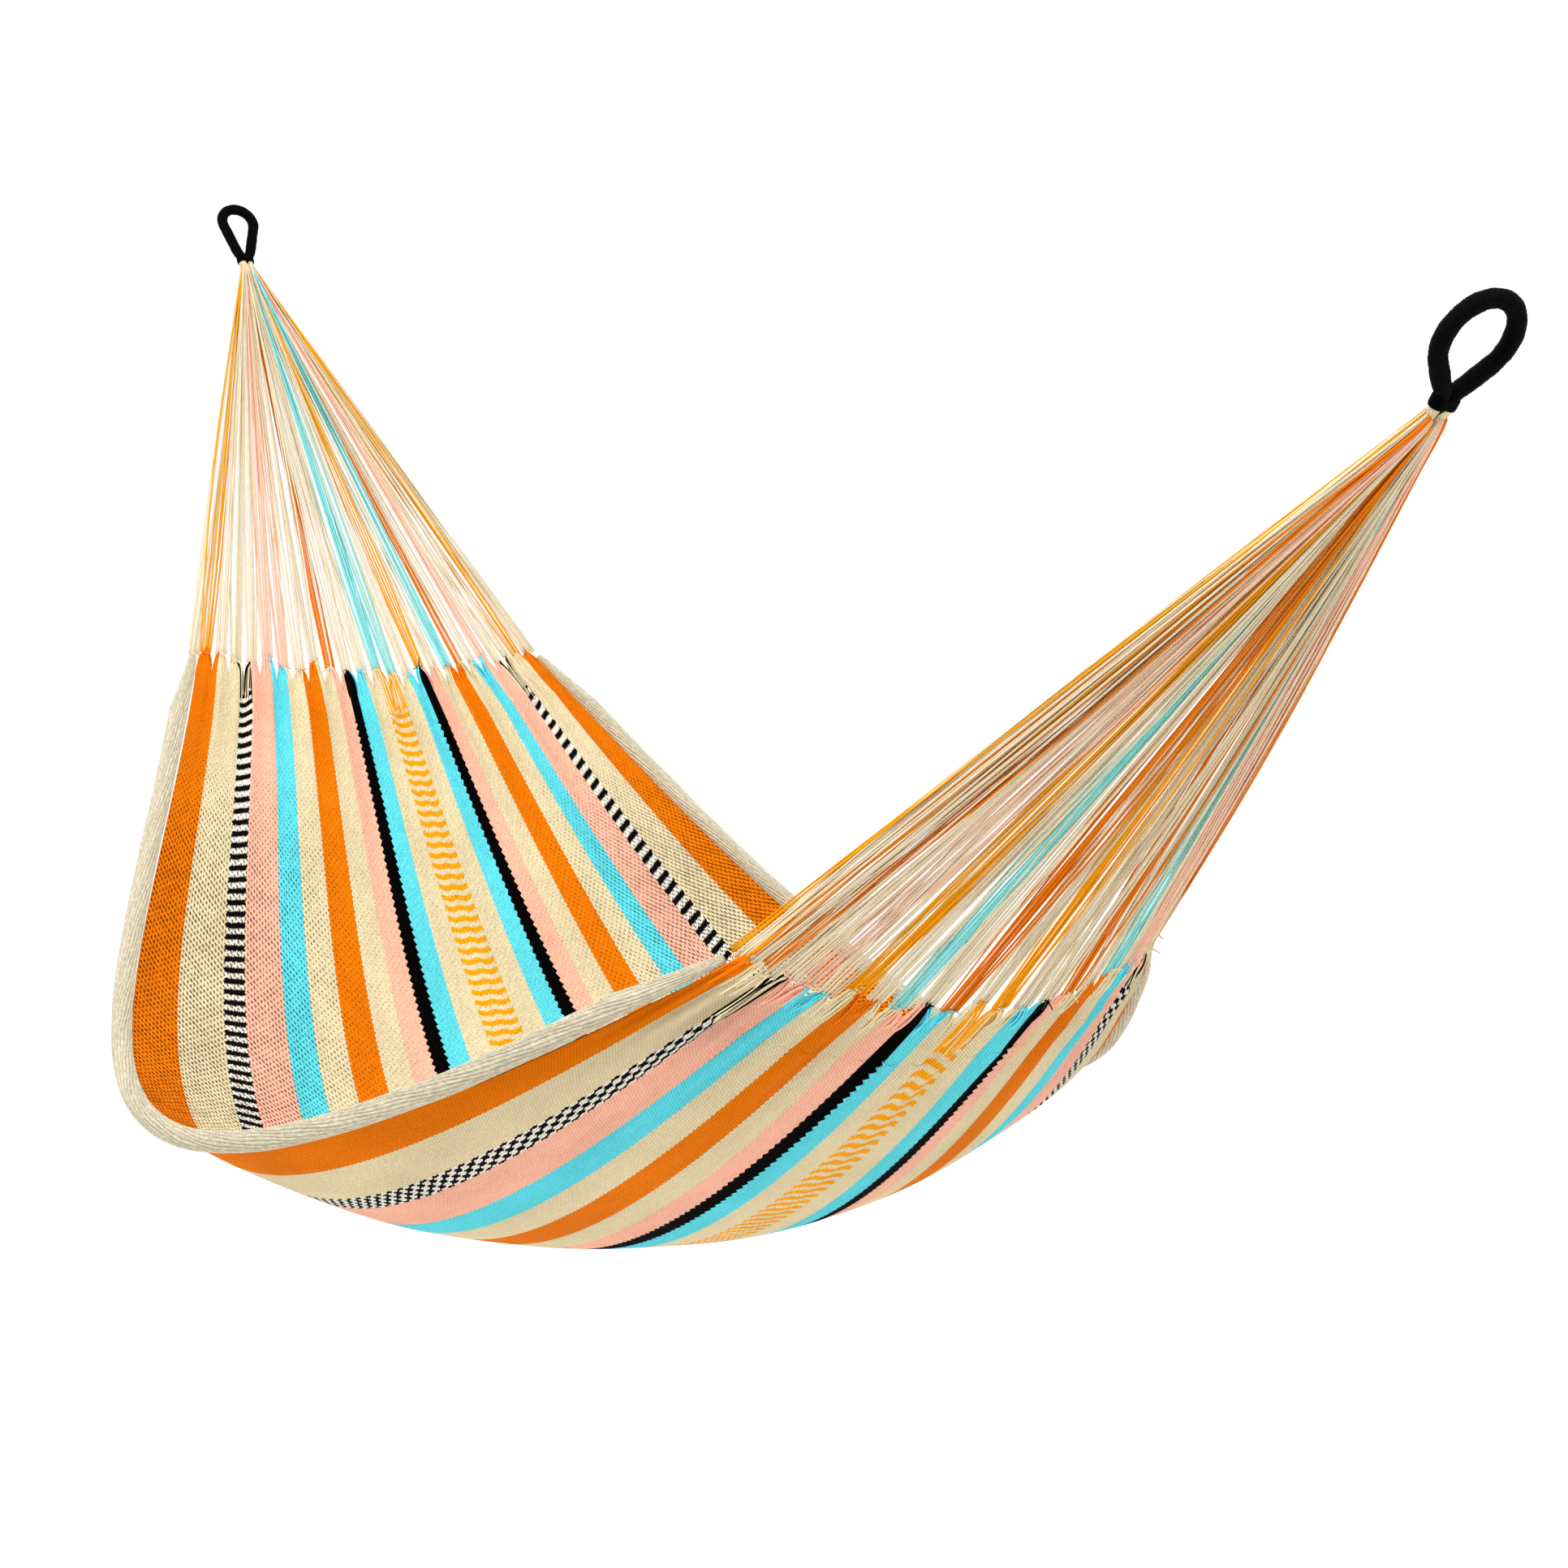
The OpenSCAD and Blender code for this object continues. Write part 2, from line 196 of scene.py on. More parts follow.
def loop_place(i):
    """Where warp loop i is across the bed, as q."""
    return CLOTH_EDGE * (2 * i - LAST_STRING) / (LAST_STRING - 1)


def roll_radius(t):
    return ROLL_D / 2 * np.minimum(1, 0.35 + 10 * np.minimum(t, 1 - t))


def roll_frame(t, side):
    """Centre of a rolled edge, and the two directions across it."""
    q = side * CLOTH_EDGE
    along = unit(bed(t + 0.002, q) - bed(t - 0.002, q))
    across = unit(np.cross(along, bed_normal(t, q)))
    centre = bed(t, q) + side * across * (roll_radius(t) + STRIPE_GAP)[..., None]
    return centre, across, np.cross(across, along)


# ---------------------------------------------------------------- mesh building
class Soup:
    """Closed tubes and sheets gathered into one mesh. Each corner has a flat place (across, along)."""

    def __init__(self):
        self.points, self.quads, self.quad_uv, self.tris, self.tri_uv = [], [], [], [], []
        self.count = 0

    def skin(self, rings, uv, sheet=False):
        """Closed solid through rings (rows x sides x 3). uv is rows x (sides + 1) x 2 for the
        flat place, or x 3 with a share that is 1 on the cloth's outer side."""
        rows, sides = rings.shape[:2]
        i, j = np.meshgrid(np.arange(rows - 1), np.arange(sides), indexing="ij")
        k = (j + 1) % sides
        quads = np.stack([i * sides + j, i * sides + k,
                          (i + 1) * sides + k, (i + 1) * sides + j], -1).reshape(-1, 4)
        parts = uv.shape[-1]
        quad_uv = np.stack([uv[i, j], uv[i, j + 1], uv[i + 1, j + 1], uv[i + 1, j]],
                           -2).reshape(-1, 4, parts)
        points = rings.reshape(-1, 3)
        last = (rows - 1) * sides
        if sheet:
            a = np.arange(sides // 2 - 1)
            near = np.stack([a + 1, a, sides - 1 - a, sides - 2 - a], -1)
            far = last + np.stack([a, a + 1, sides - 2 - a, sides - 1 - a], -1)
            quads = np.concatenate([quads, near, far])
            quad_uv = np.concatenate([quad_uv, uv[0][near], uv[-1][far - last]])
            tris, tri_uv = np.zeros((0, 3), int), np.zeros((0, 3, parts))
        else:
            a = np.arange(sides)
            b = (a + 1) % sides
            centres = np.stack([rings[0].mean(0), rings[-1].mean(0)])
            points = np.concatenate([points, centres])
            middle = np.full(sides, rows * sides)
            near = np.stack([b, a, middle], -1)
            far = np.stack([last + a, last + b, middle + 1], -1)
            tris = np.concatenate([near, far])
            tri_uv = np.stack([uv[0][a + 1], uv[0][a], uv[0][a],
                               uv[-1][a], uv[-1][a + 1], uv[-1][a]]).reshape(2, 3, sides, parts)
            tri_uv = tri_uv.transpose(0, 2, 1, 3).reshape(-1, 3, parts)
        p = points[quads] - points.mean(0)
        volume = (np.einsum("ij,ij->i", p[:, 0], np.cross(p[:, 1], p[:, 2]))
                  + np.einsum("ij,ij->i", p[:, 0], np.cross(p[:, 2], p[:, 3]))).sum()
        if volume < 0:
            quads, quad_uv = quads[:, ::-1], quad_uv[:, ::-1]
            tris, tri_uv = tris[:, ::-1], tri_uv[:, ::-1]
        self.points.append(points)
        self.quads.append(quads + self.count)
        self.quad_uv.append(quad_uv)
        self.tris.append(tris + self.count)
        self.tri_uv.append(tri_uv)
        self.count += len(points)

    def tube(self, path, radius, sides=6, ident=0):
        """Round tube along a path. ident numbers the yarn, for its own shade."""
        path = np.asarray(path, float)
        radius = np.broadcast_to(radius, len(path))
        heading = unit(np.gradient(path, axis=0))
        start = [0, 0, 1] if abs(heading[0][2]) < 0.9 else [1, 0, 0]
        normal = np.cross(heading[0], start)
        normals = []
        for d in heading:
            normal = unit(normal - d * np.dot(normal, d))
            normals.append(normal)
        normals = np.array(normals)
        other = np.cross(heading, normals)
        a = np.arange(sides) * 2 * math.pi / sides
        rings = (path[:, None] + radius[:, None, None]
                 * (np.cos(a)[None, :, None] * normals[:, None]
                    + np.sin(a)[None, :, None] * other[:, None]))
        length = np.concatenate([[0], np.cumsum(np.linalg.norm(np.diff(path, axis=0), axis=1))])
        uv = np.stack(np.broadcast_arrays(ident + np.arange(sides + 1)[None] / sides * 0.98,
                                          length[:, None]), -1)
        self.skin(rings, uv)

    def make(self, name, material, body, slot, *nodes, crease=None):
        """The piece: rides on body and stands for the CAD nodes; slot is not used.
        Its edges sharper than crease are shaded as creases."""
        points = np.concatenate(self.points)
        quads, tris = np.concatenate(self.quads), np.concatenate(self.tris)
        parts = self.quad_uv[0].shape[-1]
        uv = np.concatenate([np.concatenate(self.quad_uv).reshape(-1, parts),
                             np.concatenate(self.tri_uv).reshape(-1, parts)]).astype(np.float32)
        mesh = bpy.data.meshes.new(name)
        mesh.vertices.add(len(points))
        mesh.vertices.foreach_set("co", points.astype(np.float32).ravel())
        corners = np.concatenate([quads.ravel(), tris.ravel()])
        mesh.loops.add(len(corners))
        mesh.loops.foreach_set("vertex_index", corners.astype(np.int32))
        starts = np.concatenate([np.arange(len(quads)) * 4,
                                 len(quads) * 4 + np.arange(len(tris)) * 3])
        mesh.polygons.add(len(starts))
        mesh.polygons.foreach_set("loop_start", starts.astype(np.int32))
        mesh.polygons.foreach_set("use_smooth", np.ones(len(starts), bool))
        mesh.update(calc_edges=True)
        mesh.uv_layers.new(name="flat").data.foreach_set("uv", uv[:, :2].ravel())
        if parts == 3:
            mesh.uv_layers.new(name="outer").data.foreach_set("uv", uv[:, [2, 2]].ravel())
        mesh.validate()
        if crease:
            mesh.set_sharp_from_angle(angle=crease)
        mesh.materials.append(material)
        piece = bpy.data.objects.new(name, mesh)
        bpy.context.scene.collection.objects.link(piece)
        if body:
            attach(piece, body)
        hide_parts(*nodes)
        return piece


def curve_through(points, per_span):
    """Smooth path through points (Catmull-Rom)."""
    p = np.asarray(points, float)
    p = np.concatenate([[2 * p[0] - p[1]], p, [2 * p[-1] - p[-2]]])
    t = np.linspace(0, 1, per_span, endpoint=False)[:, None]
    spans = [0.5 * (2 * b + (c - a) * t + (2 * a - 5 * b + 4 * c - d) * t ** 2
                    + (3 * b - a - 3 * c + d) * t ** 3)
             for a, b, c, d in zip(p[:-3], p[1:-2], p[2:-1], p[3:])]
    return np.concatenate(spans + [p[-2:-1]])


# ---------------------------------------------------------------- materials
def linear(*srgb):
    """Screen colour, 0 to 255 each, as linear RGBA."""
    return tuple((c / 255 / 12.92 if c <= 10 else ((c / 255 + 0.055) / 1.055) ** 2.4)
                 for c in srgb) + (1.0,)


COLOURS = {
    "cream": linear(228, 210, 168),
    "undyed": linear(208, 198, 172),
    "yellow": linear(248, 162, 6),
    "orange": linear(232, 118, 0),
    "pink": linear(250, 184, 157),
    "turquoise": linear(96, 217, 229),
    "black": linear(4, 3, 3),
    "white": linear(236, 230, 214),
    "twine": linear(3, 3, 3),
}


class Value:
    """A number in a node tree, with arithmetic that adds Math nodes."""

    def __init__(self, tree, socket):
        self.tree, self.socket = tree, socket

    def op(self, kind, *others):
        node = self.tree.nodes.new("ShaderNodeMath")
        node.operation = kind
        for slot, x in zip(node.inputs, (self, *others)):
            if isinstance(x, Value):
                self.tree.links.new(x.socket, slot)
            else:
                slot.default_value = x
        return Value(self.tree, node.outputs[0])

    def __add__(self, other):
        return self.op("ADD", other)

    def __sub__(self, other):
        return self.op("SUBTRACT", other)

    def __mul__(self, other):
        return self.op("MULTIPLY", other)

    def __mod__(self, other):
        return self.op("FLOORED_MODULO", other)

    def floor(self):
        return self.op("FLOOR")

    def fract(self):
        return self.op("FRACT")

    def abs(self):
        return self.op("ABSOLUTE")

    def power(self, exponent):
        return self.op("POWER", exponent)

    def wave(self):
        """Sine with one whole wave for each whole number."""
        return (self * (2 * math.pi)).op("SINE")

    def ramp(self, low, high, to_low=0.0, to_high=1.0):
        """Smooth step from low to high."""
        node = self.tree.nodes.new("ShaderNodeMapRange")
        node.interpolation_type = "SMOOTHSTEP"
        node.inputs["From Min"].default_value = low
        node.inputs["From Max"].default_value = high
        node.inputs["To Min"].default_value = to_low
        node.inputs["To Max"].default_value = to_high
        self.tree.links.new(self.socket, node.inputs["Value"])
        return Value(self.tree, node.outputs[0])


class Fabric:
    """A material with the flat place of each point, random shades, colour mixing and bump."""

    def __init__(self, name, roughness=0.9, specular=0.06):
        self.material = bpy.data.materials.new(name)
        self.material.use_nodes = True
        self.tree = self.material.node_tree
        self.shader = self.tree.nodes["Principled BSDF"]
        self.shader.inputs["Roughness"].default_value = roughness
        self.shader.inputs["Specular IOR Level"].default_value = specular
        self.x, self.y = self.layer("flat")

    def layer(self, name):
        """The two numbers that a UV layer holds."""
        uv = self.tree.nodes.new("ShaderNodeUVMap")
        uv.uv_map = name
        split = self.tree.nodes.new("ShaderNodeSeparateXYZ")
        self.tree.links.new(uv.outputs[0], split.inputs[0])
        return Value(self.tree, split.outputs[0]), Value(self.tree, split.outputs[1])

    def place(self, x, y):
        node = self.tree.nodes.new("ShaderNodeCombineXYZ")
        for slot, v in zip(node.inputs, (x, y)):
            self.tree.links.new(v.socket, slot)
        return node.outputs[0]

    def chance(self, x, y):
        """A random number for each whole pair of numbers."""
        node = self.tree.nodes.new("ShaderNodeTexWhiteNoise")
        node.noise_dimensions = "2D"
        self.tree.links.new(self.place(x, y), node.inputs["Vector"])
        return Value(self.tree, node.outputs["Value"])

    def cloud(self, x, y, detail=2.0):
        """Smooth noise, from 0 to 1."""
        node = self.tree.nodes.new("ShaderNodeTexNoise")
        node.noise_dimensions = "2D"
        node.inputs["Scale"].default_value = 1.0
        node.inputs["Detail"].default_value = detail
        self.tree.links.new(self.place(x, y), node.inputs["Vector"])
        return Value(self.tree, node.outputs[0])

    def colour(self, shade, other=None, share=None):
        """Between two colours by share."""
        node = self.tree.nodes.new("ShaderNodeMix")
        node.data_type = "RGBA"
        node.inputs["A"].default_value = shade
        node.inputs["B"].default_value = other or shade
        node.inputs["Factor"].default_value = 0.0
        if share is not None:
            self.tree.links.new(share.socket, node.inputs["Factor"])
        return node.outputs["Result"]

    def finish(self, colour, light, height, depth):
        """Darkens colour where light is low, and adds the bump."""
        scale = self.tree.nodes.new("ShaderNodeVectorMath")
        scale.operation = "SCALE"
        self.tree.links.new(colour, scale.inputs[0])
        self.tree.links.new(light.socket, scale.inputs["Scale"])
        self.tree.links.new(scale.outputs[0], self.shader.inputs["Base Color"])
        bump = self.tree.nodes.new("ShaderNodeBump")
        bump.inputs["Distance"].default_value = depth
        bump.inputs["Strength"].default_value = 0.8
        self.tree.links.new(height.socket, bump.inputs["Height"])
        self.tree.links.new(bump.outputs[0], self.shader.inputs["Normal"])
        return self.material


SLOT_PITCH = BED_LENGTH * (1 - 2 * LOOP_SHARE) / SLOTS_ALONG
HOLE_COLUMNS, HOLE_ROWS = 1.5, 0.72
HOLE_SLANT, HOLE_LENGTH, HOLE_WIDTH = math.radians(24), 0.0027, 0.0013
LAST_RIB = ribs_before(len(STRIPES))


def weave(name, shade, bars=None):
    """Woven cloth: slanting dashes of yarn in two columns a rib, and a lattice of slanting holes
    that is nearly closed on the outside. Light and shade are painted into the colour: each dash is
    painted darker at its sides and ends, as the shade between yarns, the holes are painted dark, as
    the shade seen through them, and the outer side is painted darker than the inside, as painted
    shade. bars is (second colour, period, share, wave) for a stripe with bars across it, which lie
    closer together at the head end."""
    f = Fabric("weave_" + name, specular=0.02 if name == "black" else 0.06)
    outer = f.layer("outer")[0]
    columns = f.x * 2
    column = columns.floor()
    across = columns - column - 0.5
    rows = f.y * 2 + across * 0.9 + (column % 2) * 0.5
    row = rows.floor()
    along = rows - row - 0.5
    dash = ((across * 2).power(2) * -0.7 + 1) * ((along * 2).power(4) * -1 + 1)
    holes = f.x * HOLE_COLUMNS
    hole = (holes + 0.5).floor()
    off_x = (holes - hole) * (RIB_PITCH / HOLE_COLUMNS)
    off_y = (((f.y * HOLE_ROWS + (hole % 2) * 0.5 + 0.5).fract() - 0.5)
             * (SLOT_PITCH / HOLE_ROWS))
    lengthways = (off_y * math.cos(HOLE_SLANT) + off_x * math.sin(HOLE_SLANT)) * (1 / HOLE_LENGTH)
    sideways = (off_x * math.cos(HOLE_SLANT) - off_y * math.sin(HOLE_SLANT)) * (1 / HOLE_WIDTH)
    wide = f.x.abs().ramp(0.2 * LAST_RIB, 0.85 * LAST_RIB)
    middle = (f.y.ramp(0.02 * SLOTS_ALONG, 0.2 * SLOTS_ALONG)
              * f.y.ramp(0.7 * SLOTS_ALONG, 0.98 * SLOTS_ALONG, 1.0, 0.0))
    patchy = f.cloud(f.x * 0.35, f.y * 0.35).ramp(0.3, 0.7, 0.7, 1.1)
    looseness = (wide * middle * 0.72 + 0.28) * (outer * -0.8 + 1) * patchy
    opening = (looseness - (lengthways * lengthways + sideways * sideways) * 0.45).ramp(0.0, 0.5)
    own = f.chance(column, row)
    # Each dash has its own random tone, which varies less on the outer side.
    shades = own * (outer * -0.1 + 0.2) + (outer * 0.05 + 0.88)
    faded = f.cloud(f.x * 0.12, f.y * 0.05).ramp(0.25, 0.75, 0.93, 1.05)
    # Painted shade: darker at the sides and ends of each dash, on the holes, and on the whole outer
    # side.
    light = ((dash * 0.3 + (outer * -0.1 + 0.75)) * (opening * -0.8 + 1)) * shades * faded
    if bars:
        second, period, share, wave_depth = bars
        spaced = f.y - f.y * f.y * (0.12 / SLOTS_ALONG)
        phase = spaced * (1 / period) + across * (0.3 / period)
        if wave_depth:
            phase = phase + (f.x * 0.25 + 0.25).wave() * wave_depth
        else:
            phase = phase + f.x * 0.12 + outer * ((f.x + 0.5).floor() % 2) * 0.5
        phase = phase + own * 0.07
        bar = (phase.fract() - 0.5).abs().ramp(share / 2 - 0.03, share / 2 + 0.03, 1.0, 0.0)
        colour = f.colour(shade, second, bar)
    else:
        colour = f.colour(shade)
    return f.finish(colour, light, dash - opening * 0.8, 0.0011)


def yarn(name, shade, lay=0.0032, fibre=0.10, depth=0.22):
    """Twisted yarn: diagonal plies along each numbered tube, painted lighter on their crests and
    darker between them as painted shade, each tube in its own random tone.
    """
    f = Fabric("yarn_" + name)
    ident = f.x.floor()
    twist = (f.y * (1 / lay) + f.x.fract()).wave() * 0.5 + 0.5
    own = f.chance(ident, ident) * 0.22 + 0.88
    streak = f.cloud(f.x * 7, f.y * 60, 3.0).ramp(0.25, 0.75, 1 - fibre, 1 + fibre * 0.4)
    # Painted shade: darker between the plies, by as much as depth.
    light = (twist * depth + (0.93 - depth / 2)) * own * streak
    return f.finish(f.colour(shade), light, twist, 0.0004)


def rolled(name, shade):
    """Edge roll: long soft strands side by side with fibres and shadows between them."""
    f = Fabric("roll_" + name)
    strand = f.x.floor()
    across = f.x.fract() - 0.5
    crest = (across * 2).power(2) * -1 + 1
    fibres = f.cloud(f.x * 4, f.y * 55, 3.0).ramp(0.25, 0.75, 0.84, 1.05)
    plies = (f.y * 190 + across * 1.5 + f.chance(strand, strand) * 3).wave() * 0.5 + 0.5
    own = f.chance(strand, (f.y * 9).floor()) * 0.14 + 0.9
    crossed = f.cloud(f.x * 0.9 + f.y * 90, f.x * 0.9 - f.y * 90).ramp(0.35, 0.7, 0.82, 1.06)
    light = crest.ramp(0.0, 0.5, 0.76, 1.0) * fibres * own * crossed * (plies * 0.12 + 0.92)
    return f.finish(f.colour(shade), light, crest * 0.5 + plies * 0.3 + crossed, 0.0012)


def twine():
    """Black twine with a faint shine on the crest of each turn."""
    f = Fabric("black_twine", roughness=0.5, specular=0.025)
    # Painted highlight: the colour is lighter in patches from turn to turn and on the crest of each
    # turn.
    turns = f.cloud(f.x * 3, f.y * 900)
    plies = (f.x * 40 + f.y * 500).wave() * 0.5 + 0.5
    light = turns.ramp(0.2, 0.8, 0.5, 1.6) * (plies * 0.4 + 0.8)
    return f.finish(f.colour(COLOURS["twine"]), light, plies * 0.5 + turns, 0.0004)


WEAVES = {c: weave(c, COLOURS[c]) for c in ("cream", "turquoise", "black", "pink", "orange")}
WEAVES["barred"] = weave("barred", COLOURS["white"], (COLOURS["black"], 2.35, 0.52, 0.0))
WEAVES["centre"] = weave("centre", COLOURS["cream"], (COLOURS["yellow"], 2.05, 0.52, 0.09))
YARNS = {c: yarn(c, COLOURS[c]) for c in ("cream", "yellow", "orange", "pink", "turquoise",
                                          "black")}
STRING_COLOURS = {"cream": linear(226, 210, 177), "yellow": linear(238, 158, 12),
                  "orange": linear(225, 118, 12), "pink": linear(243, 190, 164),
                  "turquoise": linear(128, 216, 214)}
STRINGS = {c: yarn("string_" + c, shade, fibre=0.16, depth=0.07)
           for c, shade in STRING_COLOURS.items()}
ROLL = rolled("cream", COLOURS["undyed"])
CORE = rolled("core", COLOURS["cream"])
TWINE = twine()
SLOT = {"cream": "cream_yarn", "yellow": "yellow_yarn", "orange": "orange_yarn",
        "pink": "pink_yarn", "turquoise": "turquoise_yarn", "black": "black_yarn",
        "barred": "barred_yarn", "centre": "yellow_yarn"}


# ---------------------------------------------------------------- cloth
def wrinkle(t, q):
    """How far the cloth stands out of the bed surface: gathers at the ends, soft waves between."""
    loops = (q / CLOTH_EDGE * (LAST_STRING - 1) + LAST_STRING) / 2
    near_end = np.exp(-(t - LOOP_SHARE) / 0.045) + np.exp(-(1 - LOOP_SHARE - t) / 0.045)
    gathers = -0.0045 * near_end * np.cos(2 * math.pi * loops)
    folds = 0.0022 * np.sin(21 * q + 2.2 * np.sin(5 * t)) * (0.25 + 0.75 * near_end)
    waves = 0.0016 * np.sin(7 * q + 9 * t) + 0.0012 * np.sin(13 * t - 5 * q + 1)
    edge = np.clip((CLOTH_EDGE - np.abs(q)) / 0.06, 0, 1)
    return (gathers + folds + waves) * edge


def border_teeth(border, i):
    """How far the border of two stripes swings out at row i: black yarns reach out in long teeth."""
    if border in BLACK_BORDERS:
        return BLACK_BORDERS[border] * LONG_TOOTH * (i % 3 - 1)
    return TOOTH * (1 - 2 * (i % 2))


def stripe(soup, k, side):
    """Adds the k-th woven stripe out from the centre, on one side."""
    width = STRIPES[k][1]
    ribs = round(width / RIB_PITCH)
    if k == 0:
        inner, outer, first, ribs = -width, width, -ribs, 2 * ribs
    else:
        inner, outer = EDGES[k - 1], EDGES[k]
        first = ribs_before(k)
    c = np.arange(RIB_COLUMNS * ribs + 1)
    i = np.arange(ROWS + 1)[:, None]
    x = side * (first + c / RIB_COLUMNS)
    flat = side * mix(inner, outer, c / c[-1])
    valley = c % RIB_COLUMNS == 0
    rib = np.where(valley, np.round(x), np.floor(x)).astype(int)
    slot = valley & ((i + rib) % 2 == 0)
    sign = 1 - 2 * ((i + rib) % 2)
    sway = np.where(valley, 0.0, RIB_SWAY * sign)
    at_edge = (c == 0) | (c == c[-1])
    sway[:, :1] = (side if k else -1) * border_teeth(max(k, 1), i)
    sway[:, -1:] = side * border_teeth(k + 1, i) if k < len(STRIPES) - 1 else 0.0
    t = mix(LOOP_SHARE, 1 - LOOP_SHARE, i / ROWS)
    q = (flat + sway) / HALF_W
    t = np.broadcast_to(t, q.shape)
    normal = bed_normal(t, q)
    middle = bed(t, q) + normal * wrinkle(t, q)[..., None]
    half = np.where(valley, np.where(slot, SLOT_HALF, VALLEY_HALF), PEAK_HALF)
    half = np.where(at_edge, EDGE_HALF, half)[..., None]
    rings = np.concatenate([middle + normal * half, (middle - normal * half)[:, ::-1]], 1)
    across = np.concatenate([x, x[::-1], x[:1]])
    outside = np.repeat([1.0, 0.0, 1.0], [len(x), len(x), 1])
    uv = np.stack(np.broadcast_arrays(across[None], i / 2, outside[None]), -1)
    soup.skin(rings, uv, sheet=True)


def cloth():
    """The woven stripes, each pair in one piece."""
    for k, (node, width, colour) in enumerate(STRIPES):
        soup = Soup()
        for side in ([1] if k == 0 else [-1, 1]):
            stripe(soup, k, side)
        piece = soup.make("woven_" + node, WEAVES[colour], "bed", SLOT[colour], node,
                          crease=math.radians(55))


def edge_rolls(strands=18, per_strand=5, rows=420, turn_length=0.62):
    """Thick rolled long edges: soft strands laid side by side with a slow twist."""
    t = np.linspace(ROLL_INSET, 1 - ROLL_INSET, rows)
    rng = np.random.default_rng(5)
    for side, node in ((-1, "near_edge_roll"), (1, "far_edge_roll")):
        centre, across, out = roll_frame(t, side)
        length = np.concatenate([[0], np.cumsum(np.linalg.norm(np.diff(centre, axis=0), axis=1))])
        sides = strands * per_strand
        a = np.arange(sides) / sides
        place = (a * strands)[None] + 0 * length[:, None]
        crest = np.abs(np.sin(math.pi * place)) ** 0.75
        fat = rng.uniform(0.9, 1.05, strands)
        fatness = fat[np.floor(place + 1e-6).astype(int) % strands]
        wander = 1 + 0.03 * np.sin(length * 37)[:, None] * np.cos(2 * math.pi * a)[None]
        r = roll_radius(t)[:, None] * (0.79 + 0.11 * crest * fatness) * wander
        stray = 0.012 * np.sin(length * 31 + 1)[:, None] + 0.008 * np.sin(
            length[:, None] * 67 + 6 * math.pi * a[None])
        angle = 2 * math.pi * (a[None] + side * length[:, None] / turn_length + stray)
        rings = centre[:, None] + r[..., None] * (np.cos(angle)[..., None] * across[:, None]
                                                 + np.sin(angle)[..., None] * out[:, None])
        uv = np.stack(np.broadcast_arrays(np.arange(sides + 1)[None] / per_strand,
                                          length[:, None]), -1)
        soup = Soup()
        soup.skin(rings, uv)
        soup.make("rolled_" + node, ROLL, "bed", "cream_yarn", node)


# ---------------------------------------------------------------- ends of the bed
def yarn_at(q, n):
    """Colour of the n-th warp yarn, which comes out of the cloth at q."""
    flat = abs(q) * HALF_W
    colour = STRIPES[min(int(np.searchsorted(EDGES, flat)), len(STRIPES) - 1)][2]
    if colour == "barred":
        return ("black", "cream")[n % 2]
    if colour == "centre":
        return ("yellow", "cream", "yellow")[n % 3]
    return colour


rng = np.random.default_rng(11)
STAGGER = {end: rng.uniform(-STAGGER_MOST, STAGGER_MOST, LAST_STRING + 1) for end in EYES}


def tie(end, i):
    """Where string i is tied to its warp loop, and the unit direction from there to the throat."""
    t = END_T[end]
    if i in (0, LAST_STRING):
        point = roll_frame(np.array(t), -1 if i == 0 else 1)[0]
    else:
        point = bed(t, loop_place(i))
    towards = unit(THROATS[end] - point)
    return point + towards * STAGGER[end][i], towards


def gathered(end, i, q_root, s):
    """Points of the cloth's end as it is gathered to the tip of loop i (s = 1), with their
    t and q."""
    t_end, q_tip = END_T[end], loop_place(i)
    t_root = LOOP_SHARE + LOOP_TUCK if end == "head" else 1 - LOOP_SHARE - LOOP_TUCK
    q = mix(q_root, q_tip, GATHER * s ** 7)
    t = mix(t_root, t_end, s) + 0 * q
    stands = wrinkle(t_root, q_root) * (1 - s)
    pulled = (s ** 5)[..., None] * (tie(end, i)[0] - bed(t_end, q_tip))
    return bed(t, q) + bed_normal(t, q) * stands[..., None] + pulled, t, q


def loop_cloth(end, i, k, side, soup, rows=22):
    """Adds the part of woven stripe k that runs on into loop i."""
    inner, outer = (-EDGES[0], EDGES[0]) if k == 0 else (EDGES[k - 1], EDGES[k])
    low, high = sorted((side * inner / HALF_W, side * outer / HALF_W))
    half_pitch = CLOTH_EDGE / (LAST_STRING - 1)
    low, high = max(low, loop_place(i) - half_pitch), min(high, loop_place(i) + half_pitch)
    if high - low < NARROWEST_PART:
        return
    ribs = round(STRIPES[k][1] / RIB_PITCH)
    columns = max(3, round((high - low) * HALF_W / LOOP_COLUMN_W) + 1)
    q_root = np.linspace(low, high, columns)[None]
    if k:
        x = side * (ribs_before(k) + (side * q_root[0] * HALF_W - inner) / (outer - inner) * ribs)
    else:
        x = q_root[0] * HALF_W / outer * ribs
    reach = TWO_COLOURED_REACH if STRIPES[k][2] in TWO_COLOURED else PLAIN_REACH
    s = reach * (1 - np.linspace(1, 0, rows)[:, None] ** 1.5)
    middle, t, q = gathered(end, i, q_root, s)
    thin = np.clip((reach - s) / 0.25, 0.3, 1) * LOOP_CLOTH_HALF
    step = bed_normal(t, q) * (thin + 0 * q)[..., None]
    rings = np.concatenate([middle + step, (middle - step)[:, ::-1]], 1)
    y = (t - LOOP_SHARE) / (1 - 2 * LOOP_SHARE) * SLOTS_ALONG
    y = np.concatenate([y, y[:, ::-1], y[:, :1]], 1)
    across = np.concatenate([x, x[::-1], x[:1]])
    outside = np.repeat([1.0, 0.0, 1.0], [columns, columns, 1])
    soup.skin(rings, np.stack(np.broadcast_arrays(across[None], y, outside[None]), -1), sheet=True)


